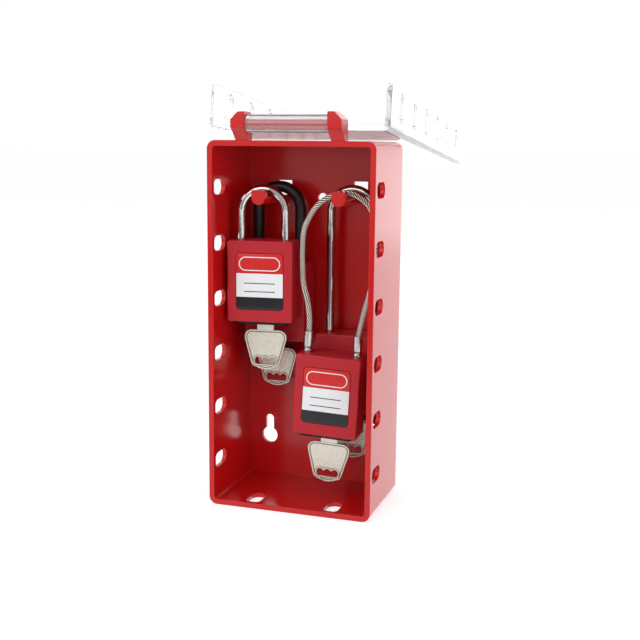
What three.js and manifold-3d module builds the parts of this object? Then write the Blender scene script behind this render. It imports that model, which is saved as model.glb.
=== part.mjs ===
// Open-fronted lock box with a flip-up clear cover, stocked with four safety padlocks.
// Millimetres, +Z up, front towards -Y, origin at the middle of the box's underside.
import * as THREE from 'three';
import { mergeVertices } from 'three/addons/utils/BufferGeometryUtils.js';
import Module from 'manifold-3d';

const wasm = await Module();
wasm.setup();

// Box shell
const boxWidth = 102;
const boxHeight = 220;
const boxDepth = 65;
const wallThickness = 2.8;
const rimThickness = 3.4;
const rimDepth = 3;
const boxCornerRadius = 5;
const boxBackRadius = 4;
const cavityCornerRadius = 1.8;

// Slots for padlock shackles: a row down each side, two in the floor and a row down each cover flange
const slotsPerSide = 6;
const slotWidth = 9;
const slotLength = 17;
const slotSetback = 12.2;
const topSlotDrop = 27.3;
const bottomSlotHeight = 25.95;

// Holes in the back
const centreHoleDiameter = 6;
const centreHoleDrop = 35;
const keyholeSpread = 70;
const keyholeHeight = 28.6;
const keyholeDiameter = 10.4;
const keyholeSlotWidth = 5.4;
const keyholeRise = 11.2;

// Two moulded hooks on the back wall, each with an upturned tip
const hookOutset = 0.7;
const hookWidth = 8.7;
const hookArmHeight = 4.7;
const tipRise = 4;
const tipThickness = 4;
const tipCornerRadius = 0.9;
const tipToFrontRow = 7;
const mouldWindowHeight = 8.6;

// Hinge lugs on the top, and the pin between them
const hingeRise = 9.3;
const hingeForward = 1.1;
const lugGap = 49.2;
const lugWidth = 8.4;
const lugFrontReach = 6;
const lugBackReach = 6.6;
const lugTopReach = 6.7;
const lugFacetDrop = 2.4;
const lugFacetRun = 7.6;
const lugChamfer = 4.4;
const lugFrontChamfer = 0.8;
const lugBackChamfer = 2.4;
const pinDiameter = 4.8;
const pinBlindDepth = 7;
const pinEndSetback = 0.8;

// Clear cover, drawn closed and hung from the pin
const coverWall = 3.4;
const coverFlangeWall = 2.5;
const coverFlangeDepth = 27.6;
const coverFrontReach = 2.8;
const coverSideClearance = 1.4;
const coverOffset = 1;
const coverTopDrop = 8.8;
const coverFloorClearance = 0.5;
const coverEdgeRadius = 3.5;
const coverInnerRadius = 1;
const coverPanelCornerRadius = 5;
const coverFlangeCornerRadius = 8;
const barrelDiameter = 10.4;

// Padlock, the same body for all four
const bodyWidth = 40;
const bodyHeight = 49.2;
const bodyThickness = 20;
const bodyCornerRadius = 1.4;
const bodyEdgeRadius = 0.8;
const plugDiameter = 12;
const plugLength = 22;
const plugOffset = 1.5;
const basePlateWidth = 33;
const basePlateDepth = 15;
const basePlateThickness = 2.4;
const basePlateCornerRadius = 3;
const basePlateDrop = 1.7;
const heelInsertion = 20;
const toeInsertion = 8;
const labelWidth = 28.6;
const labelHeight = 33.8;
const labelThickness = 0.4;
const labelCornerRadius = 2.2;
const labelRecess = 0.5;

// Shackles: chromed steel, black nylon and a steel cable
const steelRodDiameter = 5.2;
const steelSpan = 27.5;
const nylonRodDiameter = 7;
const nylonSpan = 27.8;
const cableDiameter = 3.5;
const ferruleSpan = 30.6;
const ferruleDiameter = 5.3;
const ferruleRise = 12.5;
const ferruleInsertion = 8;
const cableInsertion = 8;

// Key: a flat blade, a neck and a bow that narrows towards its foot
const keyThickness = 2.2;
const bladeWidth = 8.2;
const bladeLength = 20;
const bladeTipChamfer = 2.4;
const neckWidth = 10.4;
const neckLength = 4.1;
const bowWidth = 26.2;
const bowHeight = 24.6;
const bowShoulderRadius = 4.8;
const bowFootWidth = 18;
const bowFootRadius = 3;
const bowFootSag = 1.6;
const bowSlotWidth = 14;
const bowSlotHeight = 4.6;
const bowSlotWave = 0.8;
const bowSlotFoot = 3.2;

// Clearances, and how far a cutting shape runs past the face that it cuts
const fitGap = 0.3;
const cutOverrun = 5;

// How the padlocks hang: rows counted from the back wall, drops from the hooks' flat top, insets
// from the middle of each half of the box, and the share of the spare height that stays below them
const rearRowGap = 2.2;
const rowGap = 4;
const frontLeftDrop = 50.65;
const frontLeftWallGap = 1.5;
const frontLeftYaw = 0.13;
const rearLeftDrop = 65.9;
const rearLeftInset = 0.1;
const rearLeftYaw = Math.PI;
const frontRightDrop = 117.85;
const frontRightInset = 6.4;
const frontRightYaw = 0.049;
const frontRightLean = 0.05;
const rearRightDrop = 108.6;
const rearRightInset = 0.6;
const spareBelowShare = 0.3392;

// Facet counts
const cornerSteps = 4;
const holeSides = 20;
const barrelSides = 28;
const plugSides = 24;
const rodSides = 12;
const cableSides = 8;
const archSteps = 14;
const cableSteps = 64;
const bevelSteps = 2;
const waveSteps = 12;
const waveCount = 2.5;

// Places worked out from the sizes above
const boxFront = -boxDepth / 2;
const boxBack = boxDepth / 2;
const hingeY = boxFront - hingeForward;
const hingeHeight = boxHeight + hingeRise;
const slotY = boxFront + slotSetback;
const insideHalfWidth = boxWidth / 2 - wallThickness;
const bayMiddle = insideHalfWidth / 2;
const hookX = bayMiddle + hookOutset;
const rearRowY = boxBack - wallThickness - rearRowGap - bodyThickness / 2;
const frontRowY = rearRowY - bodyThickness - rowGap;
const hookY = frontRowY - tipToFrontRow - tipThickness;
const pinStart = pinEndSetback - lugGap / 2 - lugWidth;
const pinEnd = lugGap / 2 + pinBlindDepth - fitGap;
const coverHalfWidth = boxWidth / 2 + coverSideClearance + coverFlangeWall;
const barrelHalfLength = lugGap / 2 - fitGap;
const coverBottom = coverFloorClearance - hingeHeight;
const hungBelow = frontRightDrop + bodyHeight / 2 + basePlateDrop + fitGap + neckLength + bowHeight;
const hungAbove = nylonRodDiameter + crownRise(nylonSpan, nylonRodDiameter, hookOutset + rearLeftInset, 0);
const spareHeight = boxHeight - 2 * wallThickness - hungBelow - hungAbove;
const hookTopHeight = wallThickness + spareBelowShare * spareHeight + hungBelow;

const red = { color: 0xc8141c, roughness: 0.28, metalness: 0 };
const darkRed = { color: 0x8e0f14, roughness: 0.35, metalness: 0 };
const clear = { color: 0xdfe8ee, roughness: 0.08, metalness: 0, transparent: true, opacity: 0.35 };
const chrome = { color: 0xd6d8da, roughness: 0.12, metalness: 1 };
const nylon = { color: 0x141415, roughness: 0.5, metalness: 0 };
const wire = { color: 0xa8a69e, roughness: 0.35, metalness: 1 };
const aluminium = { color: 0xc9c9c7, roughness: 0.4, metalness: 1 };
const brass = { color: 0xb59a58, roughness: 0.4, metalness: 1 };
const nickel = { color: 0xc7c2b2, roughness: 0.38, metalness: 1 };
const paper = { color: 0xf2f2ee, roughness: 0.45, metalness: 0 };

// Closed geometry to solid and back
function toSolid(geometry) {
  geometry.deleteAttribute('normal');
  geometry.deleteAttribute('uv');
  const merged = mergeVertices(geometry);
  const positions = merged.attributes.position.array;
  const triangles = merged.index.array;
  if (signedVolume(positions, triangles) < 0) {
    for (let i = 0; i < triangles.length; i += 3) {
      [triangles[i], triangles[i + 1]] = [triangles[i + 1], triangles[i]];
    }
  }
  const vertProperties = Float32Array.from(positions);
  const triVerts = Uint32Array.from(triangles);
  return new wasm.Manifold(new wasm.Mesh({ numProp: 3, vertProperties, triVerts }));
}

function signedVolume(positions, triangles) {
  const a = new THREE.Vector3();
  const b = new THREE.Vector3();
  const c = new THREE.Vector3();
  let sum = 0;
  for (let i = 0; i < triangles.length; i += 3) {
    a.fromArray(positions, 3 * triangles[i]);
    b.fromArray(positions, 3 * triangles[i + 1]);
    c.fromArray(positions, 3 * triangles[i + 2]);
    sum += a.dot(b.cross(c));
  }
  return sum / 6;
}

function toMesh(name, solid, look) {
  const { vertProperties, triVerts } = solid.getMesh();
  const geometry = new THREE.BufferGeometry();
  geometry.setAttribute('position', new THREE.BufferAttribute(Float32Array.from(vertProperties), 3));
  geometry.setIndex(new THREE.BufferAttribute(Uint32Array.from(triVerts), 1));
  geometry.computeVertexNormals();
  const mesh = new THREE.Mesh(geometry, new THREE.MeshStandardMaterial({ ...look, flatShading: true }));
  mesh.name = name;
  return mesh;
}

// Outlines as lists of points
function arcPoints(centreU, centreV, radius, fromDegrees, toDegrees, steps = cornerSteps) {
  const points = [];
  for (let i = 0; i <= steps; i += 1) {
    const angle = THREE.MathUtils.degToRad(THREE.MathUtils.lerp(fromDegrees, toDegrees, i / steps));
    points.push(new THREE.Vector2(centreU + radius * Math.cos(angle), centreV + radius * Math.sin(angle)));
  }
  return points;
}

function roundedRectangle(left, bottom, right, top, radius) {
  return [
    ...arcPoints(right - radius, bottom + radius, radius, -90, 0),
    ...arcPoints(right - radius, top - radius, radius, 0, 90),
    ...arcPoints(left + radius, top - radius, radius, 90, 180),
    ...arcPoints(left + radius, bottom + radius, radius, 180, 270),
  ];
}

function rectangle(left, bottom, right, top) {
  const corners = [[left, bottom], [right, bottom], [right, top], [left, top]];
  return corners.map(([u, v]) => new THREE.Vector2(u, v));
}

// An outline pushed along an axis: (y, z) along x, (x, z) along y, or (x, y) along z
function prism(axis, outline, start, end, bevel = 0) {
  const geometry = new THREE.ExtrudeGeometry(new THREE.Shape(outline), {
    depth: end - start - 2 * bevel,
    bevelEnabled: bevel > 0,
    bevelThickness: bevel,
    bevelSize: bevel,
    bevelOffset: -bevel,
    bevelSegments: bevelSteps,
  });
  geometry.translate(0, 0, bevel);
  const x = new THREE.Vector3(1, 0, 0);
  const y = new THREE.Vector3(0, 1, 0);
  const z = new THREE.Vector3(0, 0, 1);
  if (axis === 'x') {
    geometry.applyMatrix4(new THREE.Matrix4().makeBasis(y, z, x));
    geometry.translate(start, 0, 0);
  } else if (axis === 'y') {
    geometry.applyMatrix4(new THREE.Matrix4().makeBasis(x, z, y.clone().negate()));
    geometry.translate(0, end, 0);
  } else {
    geometry.translate(0, 0, start);
  }
  return toSolid(geometry);
}

function cylinder(axis, diameter, start, end, sides, centreU = 0, centreV = 0) {
  const outline = arcPoints(centreU, centreV, diameter / 2, 0, 360 - 360 / sides, sides - 1);
  return prism(axis, outline, start, end);
}

// A round rod along a curve
function rod(path, diameter, sides, steps) {
  const section = new THREE.Shape(arcPoints(0, 0, diameter / 2, 0, 360 - 360 / sides, sides - 1));
  return toSolid(new THREE.ExtrudeGeometry(section, { steps, bevelEnabled: false, extrudePath: path }));
}

function joined(solids) {
  return solids.reduce((sum, solid) => sum.add(solid));
}

function cut(solid, cutters) {
  return cutters.reduce((left, cutter) => left.subtract(cutter), solid);
}

// Box shell: one moulding with the hooks and the hinge lugs
function sideSlotHeights() {
  const top = boxHeight - topSlotDrop;
  const pitch = (top - bottomSlotHeight) / (slotsPerSide - 1);
  return Array.from({ length: slotsPerSide }, (_, i) => top - i * pitch);
}

// A slot with round ends, long along y, in (y, z)
function slotOutline(y, z) {
  const radius = slotWidth / 2;
  const run = slotLength / 2 - radius;
  return [
    ...arcPoints(y + run, z, radius, -90, 90, 2 * cornerSteps),
    ...arcPoints(y - run, z, radius, 90, 270, 2 * cornerSteps),
  ];
}

function boxCavity() {
  const half = boxWidth / 2;
  const mouth = roundedRectangle(
    rimThickness - half, rimThickness, half - rimThickness, boxHeight - rimThickness, cavityCornerRadius);
  const inside = roundedRectangle(
    wallThickness - half, wallThickness, half - wallThickness, boxHeight - wallThickness, cavityCornerRadius);
  return [
    prism('y', mouth, boxFront - cutOverrun, boxFront + rimDepth + cutOverrun),
    prism('y', inside, boxFront + rimDepth, boxBack - wallThickness),
  ];
}

function boxOuter() {
  const outline = roundedRectangle(-boxWidth / 2, 0, boxWidth / 2, boxHeight, boxCornerRadius);
  const block = prism('y', outline, boxFront - boxBackRadius, boxBack, boxBackRadius);
  const ahead = rectangle(
    -boxWidth / 2 - cutOverrun, -cutOverrun, boxWidth / 2 + cutOverrun, boxHeight + cutOverrun);
  return block.subtract(prism('y', ahead, boxFront - boxBackRadius - cutOverrun, boxFront));
}

function hook(centreX) {
  const radius = hookWidth / 2;
  const roundCentre = hookTopHeight - hookArmHeight + radius;
  const belly = arcPoints(centreX, roundCentre, radius, 180, 360, 2 * cornerSteps);
  const armTop = [
    new THREE.Vector2(centreX + radius, hookTopHeight),
    new THREE.Vector2(centreX - radius, hookTopHeight),
  ];
  const tipTop = hookTopHeight + tipRise - tipCornerRadius;
  const tipSide = radius - tipCornerRadius;
  const tipCap = [
    ...arcPoints(centreX + tipSide, tipTop, tipCornerRadius, 0, 90, 2),
    ...arcPoints(centreX - tipSide, tipTop, tipCornerRadius, 90, 180, 2),
  ];
  const root = boxBack - wallThickness / 2;
  return joined([
    prism('y', [...belly, ...armTop], hookY, root),
    prism('y', [...belly, ...tipCap], hookY, hookY + tipThickness),
  ]);
}

function lug(side) {
  const frontY = hingeY - lugFrontReach;
  const backY = hingeY + lugBackReach;
  const topZ = hingeHeight + lugTopReach;
  const facetZ = hingeHeight - lugFacetDrop;
  const rootY = frontY + lugFacetRun;
  const rootZ = boxHeight - wallThickness / 2;
  const profile = [
    [frontY, facetZ], [rootY, boxHeight], [rootY, rootZ], [backY, rootZ],
    [backY, topZ - lugBackChamfer], [backY - lugBackChamfer, topZ],
    [frontY + lugFrontChamfer, topZ], [frontY, topZ - lugFrontChamfer],
  ].map(([y, z]) => new THREE.Vector2(y, z));
  const innerX = lugGap / 2;
  const outerX = innerX + lugWidth;
  const start = side > 0 ? innerX : -outerX;
  const block = prism('x', profile, start, start + lugWidth);
  const corner = [
    [side * (outerX - lugChamfer), topZ], [side * outerX, topZ - lugChamfer],
    [side * (outerX + cutOverrun), topZ], [side * outerX, topZ + cutOverrun],
  ].map(([x, z]) => new THREE.Vector2(x, z));
  const chamfer = prism('y', side > 0 ? corner : corner.reverse(), frontY - cutOverrun, backY + cutOverrun);
  const seatStart = side > 0 ? innerX - cutOverrun : -outerX - cutOverrun;
  const seatEnd = side > 0 ? innerX + pinBlindDepth : cutOverrun - innerX;
  const seat = cylinder('x', pinDiameter + 2 * fitGap, seatStart, seatEnd, holeSides, hingeY, hingeHeight);
  return cut(block, [chamfer, seat]);
}

function keyhole(centreX) {
  const slotTop = keyholeHeight + keyholeRise;
  const slot = [
    new THREE.Vector2(centreX - keyholeSlotWidth / 2, keyholeHeight),
    new THREE.Vector2(centreX + keyholeSlotWidth / 2, keyholeHeight),
    ...arcPoints(centreX, slotTop, keyholeSlotWidth / 2, 0, 180, 2 * cornerSteps),
  ];
  const behind = boxBack + cutOverrun;
  const inside = boxBack - wallThickness - cutOverrun;
  return joined([
    cylinder('y', keyholeDiameter, inside, behind, holeSides, centreX, keyholeHeight),
    prism('y', slot, inside, behind),
  ]);
}

function boxShell() {
  const half = boxWidth / 2;
  const behind = boxBack + cutOverrun;
  const inside = boxBack - wallThickness - cutOverrun;
  const sideSlots = sideSlotHeights().map((z) => (
    prism('x', slotOutline(slotY, z), -half - cutOverrun, half + cutOverrun)));
  const floorSlots = [-1, 1].map((side) => {
    const outline = slotOutline(slotY, side * hookX).map(({ x, y }) => new THREE.Vector2(y, x));
    return prism('z', outline, -cutOverrun, wallThickness + cutOverrun);
  });
  const windows = [-1, 1].map((side) => {
    const left = side * hookX - hookWidth / 2;
    return prism('y', rectangle(left, hookTopHeight, left + hookWidth, hookTopHeight + mouldWindowHeight),
      inside, behind);
  });
  const openings = [
    ...sideSlots, ...floorSlots, ...windows,
    keyhole(-keyholeSpread / 2), keyhole(keyholeSpread / 2),
    cylinder('y', centreHoleDiameter, inside, behind, holeSides, 0, boxHeight - centreHoleDrop),
  ];
  const tray = cut(boxOuter(), [...boxCavity(), ...openings]);
  const fittings = [hook(-hookX), hook(hookX), lug(-1), lug(1)];
  return toMesh('box_shell', joined([tray, ...fittings]), red);
}

// Hinge pin, pushed in through the left lug until it meets the blind end of the right one
function hingePin() {
  const solid = cylinder('x', pinDiameter, pinStart, pinEnd, plugSides, hingeY, hingeHeight);
  return toMesh('hinge_pin', solid, darkRed);
}

// Clear cover: a shallow channel with slotted sides, a tongue and a hinge barrel.
// Its own zero is the pin's centre, and it is drawn as if closed over the box's mouth.
function coverChannel() {
  const half = coverHalfWidth;
  const front = -coverFrontReach;
  const back = front + coverFlangeDepth;
  const inner = front + coverWall;
  const innerHalf = half - coverFlangeWall;
  const section = [
    new THREE.Vector2(-half, back),
    ...arcPoints(coverEdgeRadius - half, front + coverEdgeRadius, coverEdgeRadius, 180, 270),
    ...arcPoints(half - coverEdgeRadius, front + coverEdgeRadius, coverEdgeRadius, 270, 360),
    new THREE.Vector2(half, back),
    new THREE.Vector2(innerHalf, back),
    ...arcPoints(innerHalf - coverInnerRadius, inner + coverInnerRadius, coverInnerRadius, 0, -90, 2),
    ...arcPoints(coverInnerRadius - innerHalf, inner + coverInnerRadius, coverInnerRadius, 270, 180, 2),
    new THREE.Vector2(-innerHalf, back),
  ];
  const corner = coverFlangeCornerRadius;
  const ahead = front - cutOverrun;
  const sideView = [
    new THREE.Vector2(ahead, coverBottom),
    ...arcPoints(back - corner, coverBottom + corner, corner, -90, 0),
    ...arcPoints(back - corner, -coverTopDrop - corner, corner, 0, 90),
    new THREE.Vector2(ahead, -coverTopDrop),
  ];
  const frontView = roundedRectangle(-half, coverBottom, half, -coverTopDrop, coverPanelCornerRadius);
  return prism('z', section, coverBottom - cutOverrun, cutOverrun - coverTopDrop)
    .intersect(prism('x', sideView, -half - cutOverrun, half + cutOverrun))
    .intersect(prism('y', frontView, ahead, back + cutOverrun))
    .translate([coverOffset, 0, 0]);
}

function coverSlots() {
  const reach = coverHalfWidth + cutOverrun;
  return sideSlotHeights().map((height) => (
    prism('x', slotOutline(slotY - hingeY, height - hingeHeight), -reach, reach)));
}

function cover() {
  const reach = barrelHalfLength;
  const barrel = cylinder('x', barrelDiameter, -reach, reach, barrelSides);
  const tongue = prism('y', rectangle(-reach, -coverTopDrop - coverWall, reach, 0),
    -coverFrontReach, coverWall - coverFrontReach);
  const bore = cylinder('x', pinDiameter + 2 * fitGap, -reach - cutOverrun, reach + cutOverrun, holeSides);
  const solid = cut(joined([coverChannel(), tongue, barrel]), [bore, ...coverSlots()]);
  return toMesh('cover', solid, clear);
}

// How far the cover turns past straight back before its face meets the box's top rear edge
function openTilt() {
  const run = boxBack - boxBackRadius - hingeY;
  const drop = hingeHeight - boxHeight + boxBackRadius;
  const reach = coverFrontReach + boxBackRadius + fitGap;
  return Math.atan2(drop, run) - Math.asin(reach / Math.hypot(run, drop));
}

// Padlock pieces, drawn round the middle of the body
function legBores(span, diameter, depths) {
  const top = bodyHeight / 2;
  const bore = diameter + 2 * fitGap;
  return depths.map((depth, i) => (
    cylinder('z', bore, top - depth - fitGap, top + cutOverrun, holeSides, (i - 0.5) * span)));
}

function padlockBody(name, bores, labelled) {
  const outline = roundedRectangle(
    -bodyWidth / 2, -bodyHeight / 2, bodyWidth / 2, bodyHeight / 2, bodyCornerRadius);
  const block = prism('y', outline, -bodyThickness / 2, bodyThickness / 2, bodyEdgeRadius);
  const bottom = -bodyHeight / 2;
  const pocketTop = bottom + basePlateThickness - basePlateDrop + fitGap;
  const plugTop = bottom - basePlateDrop + plugLength + fitGap;
  const cutters = [
    ...bores,
    cylinder('z', plugDiameter + 2 * fitGap, bottom - cutOverrun, plugTop, plugSides, plugOffset),
    prism('z', basePlateOutline(fitGap), bottom - cutOverrun, pocketTop),
  ];
  if (labelled) {
    const frontY = -bodyThickness / 2;
    cutters.push(prism('y', labelOutline(fitGap), frontY - cutOverrun, frontY + labelRecess));
  }
  return toMesh(`${name}_body`, cut(block, cutters), red);
}

function basePlateOutline(margin) {
  const halfWidth = basePlateWidth / 2 + margin;
  const halfDepth = basePlateDepth / 2 + margin;
  return roundedRectangle(-halfWidth, -halfDepth, halfWidth, halfDepth, basePlateCornerRadius + margin);
}

function basePlate(name) {
  const bottom = -bodyHeight / 2 - basePlateDrop;
  const top = bottom + basePlateThickness;
  const bore = cylinder(
    'z', plugDiameter + 2 * fitGap, bottom - cutOverrun, top + cutOverrun, plugSides, plugOffset);
  return toMesh(`${name}_base`, prism('z', basePlateOutline(0), bottom, top).subtract(bore), nylon);
}

function labelOutline(margin) {
  const halfWidth = labelWidth / 2 + margin;
  const halfHeight = labelHeight / 2 + margin;
  return roundedRectangle(-halfWidth, -halfHeight, halfWidth, halfHeight, labelCornerRadius + margin);
}

function label(name) {
  const backY = -bodyThickness / 2 + labelRecess - fitGap;
  return toMesh(`${name}_label`, prism('y', labelOutline(0), backY - labelThickness, backY), paper);
}

function keyPlug(name) {
  const bottom = -bodyHeight / 2 - basePlateDrop;
  const keyway = rectangle(
    -bladeWidth / 2 - fitGap, -keyThickness / 2 - fitGap, bladeWidth / 2 + fitGap, keyThickness / 2 + fitGap);
  const solid = cylinder('z', plugDiameter, bottom, bottom + plugLength, plugSides)
    .subtract(prism('z', keyway, bottom - cutOverrun, bottom + bladeLength + fitGap));
  return toMesh(`${name}_plug`, solid.translate([plugOffset, 0, 0]), brass);
}

function bowOutline(top) {
  const foot = top - bowHeight;
  const shoulderX = bowWidth / 2 - bowShoulderRadius;
  const footX = bowFootWidth / 2 - bowFootRadius;
  const footZ = foot + bowFootSag + bowFootRadius;
  const right = [
    ...arcPoints(footX, footZ, bowFootRadius, -75, -10),
    ...arcPoints(shoulderX, top - bowShoulderRadius, bowShoulderRadius, -10, 90),
  ];
  const left = right.map((p) => new THREE.Vector2(-p.x, p.y)).reverse();
  return [new THREE.Vector2(0, foot), ...right, ...left];
}

function bowSlot(top) {
  const radius = bowSlotHeight / 2;
  const foot = top - bowHeight + bowSlotFoot;
  const run = bowSlotWidth / 2 - radius;
  const wave = Array.from({ length: waveSteps + 1 }, (_, i) => {
    const share = i / waveSteps;
    const dip = bowSlotWave * Math.sin(Math.PI * waveCount * 2 * share) ** 2;
    return new THREE.Vector2(run - 2 * run * share, foot + bowSlotHeight - dip);
  });
  return [
    new THREE.Vector2(-run, foot),
    new THREE.Vector2(0, foot - bowSlotWave),
    ...arcPoints(run, foot + radius, radius, -90, 60),
    ...wave.slice(1, -1),
    ...arcPoints(-run, foot + radius, radius, 120, 240),
  ];
}

function key(name) {
  const plugFace = -bodyHeight / 2 - basePlateDrop;
  const neckTop = plugFace - fitGap;
  const bowTop = neckTop - neckLength;
  const bladeTop = plugFace + bladeLength;
  const halfBlade = bladeWidth / 2;
  const blade = [
    [-halfBlade, bowTop], [halfBlade, bowTop], [halfBlade, bladeTop - bladeTipChamfer],
    [halfBlade - bladeTipChamfer, bladeTop], [bladeTipChamfer - halfBlade, bladeTop],
    [-halfBlade, bladeTop - bladeTipChamfer],
  ].map(([x, z]) => new THREE.Vector2(x, z));
  const neck = rectangle(-neckWidth / 2, bowTop - bowShoulderRadius, neckWidth / 2, neckTop);
  const solid = cut(joined([blade, neck, bowOutline(bowTop)].map((outline) => (
    prism('y', outline, -keyThickness / 2, keyThickness / 2)))),
  [prism('y', bowSlot(bowTop), -keyThickness, keyThickness)]);
  return toMesh(`${name}_key`, solid.translate([plugOffset, 0, 0]), nickel);
}

// Height of an arch's crown above the hook's flat top when it hangs on the hook's two upper edges
function crownRise(span, diameter, shift, yaw) {
  const inner = (span - diameter) / 2;
  const halfSeat = hookWidth / 2 + Math.abs(shift) + (diameter / 2) * Math.sin(Math.abs(yaw));
  return inner - Math.sqrt(inner ** 2 - halfSeat ** 2) + fitGap;
}

// Heel leg, half-round crown and toe leg: the crown takes archSteps stations, each leg only one
class ShackleCurve extends THREE.Curve {
  constructor(radius, springHeight, heelHeight, toeHeight) {
    super();
    Object.assign(this, { radius, springHeight, heelHeight, toeHeight });
  }

  getPoint(share, target = new THREE.Vector3()) {
    const { radius, springHeight } = this;
    const step = share * (archSteps + 2);
    if (step < 1) {
      return target.set(-radius, 0, THREE.MathUtils.lerp(this.heelHeight, springHeight, step));
    }
    if (step > archSteps + 1) {
      return target.set(radius, 0, THREE.MathUtils.lerp(this.toeHeight, springHeight, archSteps + 2 - step));
    }
    const angle = Math.PI * (1 - (step - 1) / archSteps);
    return target.set(radius * Math.cos(angle), 0, springHeight + radius * Math.sin(angle));
  }

  // Stations go by step and not by length
  getUtoTmapping(share) {
    return share;
  }
}

function shackle(name, place) {
  const radius = place.span / 2;
  const diameter = place.rodDiameter;
  const shift = Math.abs(place.x) - hookX;
  const crown = place.drop + crownRise(place.span, diameter, shift, place.yaw);
  const springHeight = crown + diameter / 2 - radius;
  const heelHeight = bodyHeight / 2 - heelInsertion;
  const toeHeight = bodyHeight / 2 - toeInsertion;
  const path = new ShackleCurve(radius, springHeight, heelHeight, toeHeight);
  return toMesh(`${name}_shackle`, rod(path, diameter, rodSides, archSteps + 2), place.look);
}

// Route of the steel cable over its hook, in (x, z) from the middle of its padlock's body
const cableRoute = [
  [-15.5, 44.6], [-17.2, 54.6], [-20.5, 66.1], [-21.8, 77.4], [-22.3, 86.4], [-21.7, 98.7], [-18.8, 105.9],
  [-15, 112.2], [-7.7, 118.2], [-3.2, 120.1], [2.1, 121.3], [5.8, 121.2], [11, 119.1], [15.4, 115.9],
  [18.1, 112.5], [21.5, 97.4], [22.2, 82.5], [20.3, 62.7], [18, 52.4], [16.4, 43.6],
];

function cable(name) {
  const end = bodyHeight / 2 + ferruleRise;
  const side = ferruleSpan / 2;
  const foot = end - cableInsertion;
  const points = [[-side, foot], [-side, end], ...cableRoute, [side, end], [side, foot]];
  const route = points.map(([x, z]) => new THREE.Vector3(x, 0, z));
  const path = new THREE.CatmullRomCurve3(route, false, 'centripetal');
  return toMesh(`${name}_cable`, rod(path, cableDiameter, cableSides, cableSteps), wire);
}

function ferrule(name, side) {
  const bottom = bodyHeight / 2 - ferruleInsertion;
  const top = bodyHeight / 2 + ferruleRise;
  const centre = side * ferruleSpan / 2;
  const bore = cylinder('z', cableDiameter + 2 * fitGap, top - cableInsertion - fitGap, top + cutOverrun,
    plugSides, centre);
  const solid = cylinder('z', ferruleDiameter, bottom, top, plugSides, centre).subtract(bore);
  return toMesh(`${name}_ferrule_${side < 0 ? 'left' : 'right'}`, solid, aluminium);
}

function padlock(name, place) {
  const group = new THREE.Group();
  group.position.set(place.x, place.rowY, hookTopHeight - place.drop);
  group.rotation.set(0, place.lean, place.yaw, 'ZYX');
  const depths = place.cabled ? [ferruleInsertion, ferruleInsertion] : [heelInsertion, toeInsertion];
  group.add(padlockBody(name, legBores(place.span, place.rodDiameter, depths), place.labelled));
  group.add(basePlate(name));
  if (place.cabled) {
    group.add(cable(name), ferrule(name, -1), ferrule(name, 1));
  } else {
    group.add(shackle(name, place));
  }
  group.add(keyPlug(name), key(name));
  if (place.labelled) {
    group.add(label(name));
  }
  return group;
}

// The four padlocks, two on each hook
const turnedHalfWidth = bodyWidth / 2 * Math.cos(frontLeftYaw) + bodyThickness / 2 * Math.sin(frontLeftYaw);
const hangings = {
  front_left: {
    span: steelSpan, rodDiameter: steelRodDiameter, look: chrome, labelled: true, rowY: frontRowY,
    x: turnedHalfWidth + frontLeftWallGap - insideHalfWidth, drop: frontLeftDrop, yaw: frontLeftYaw, lean: 0,
  },
  rear_left: {
    span: nylonSpan, rodDiameter: nylonRodDiameter, look: nylon, rowY: rearRowY,
    x: rearLeftInset - bayMiddle, drop: rearLeftDrop, yaw: rearLeftYaw, lean: 0,
  },
  front_right: {
    span: ferruleSpan, rodDiameter: ferruleDiameter, cabled: true, labelled: true, rowY: frontRowY,
    x: bayMiddle - frontRightInset, drop: frontRightDrop, yaw: frontRightYaw, lean: frontRightLean,
  },
  rear_right: {
    span: steelSpan, rodDiameter: steelRodDiameter, look: chrome, rowY: rearRowY,
    x: bayMiddle - rearRightInset, drop: rearRightDrop, yaw: 0, lean: 0,
  },
};

const lockBox = new THREE.Group();
lockBox.add(boxShell(), hingePin());

const coverSwing = new THREE.Group();
coverSwing.position.set(0, hingeY, hingeHeight);
coverSwing.rotation.x = -(1.5 * Math.PI + openTilt());
coverSwing.add(cover());
lockBox.add(coverSwing);

for (const [name, place] of Object.entries(hangings)) {
  lockBox.add(padlock(name, place));
}

export default lockBox;
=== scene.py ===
import math

import bmesh
import bpy
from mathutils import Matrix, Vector


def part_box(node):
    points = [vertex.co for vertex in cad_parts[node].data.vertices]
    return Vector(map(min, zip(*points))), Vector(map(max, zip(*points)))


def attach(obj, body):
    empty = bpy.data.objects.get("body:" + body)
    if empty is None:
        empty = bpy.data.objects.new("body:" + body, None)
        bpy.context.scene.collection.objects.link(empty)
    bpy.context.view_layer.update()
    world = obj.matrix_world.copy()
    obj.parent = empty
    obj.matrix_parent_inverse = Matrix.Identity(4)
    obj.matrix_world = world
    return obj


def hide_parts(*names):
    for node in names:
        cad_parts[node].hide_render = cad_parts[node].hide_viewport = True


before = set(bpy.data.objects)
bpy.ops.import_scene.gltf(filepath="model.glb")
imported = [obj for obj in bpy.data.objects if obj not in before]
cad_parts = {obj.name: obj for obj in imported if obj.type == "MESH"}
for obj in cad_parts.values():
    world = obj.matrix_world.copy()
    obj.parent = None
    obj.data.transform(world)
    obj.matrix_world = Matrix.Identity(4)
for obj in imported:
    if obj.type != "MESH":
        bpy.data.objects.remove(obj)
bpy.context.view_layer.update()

mm = 0.001


# Camera: it stands a little to the right of the box and looks slightly down on it,
# at the place and with the lens that the photograph's perspective gives.
ray_bounces = 24        # with fewer, the edges of the clear cover turn black

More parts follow.
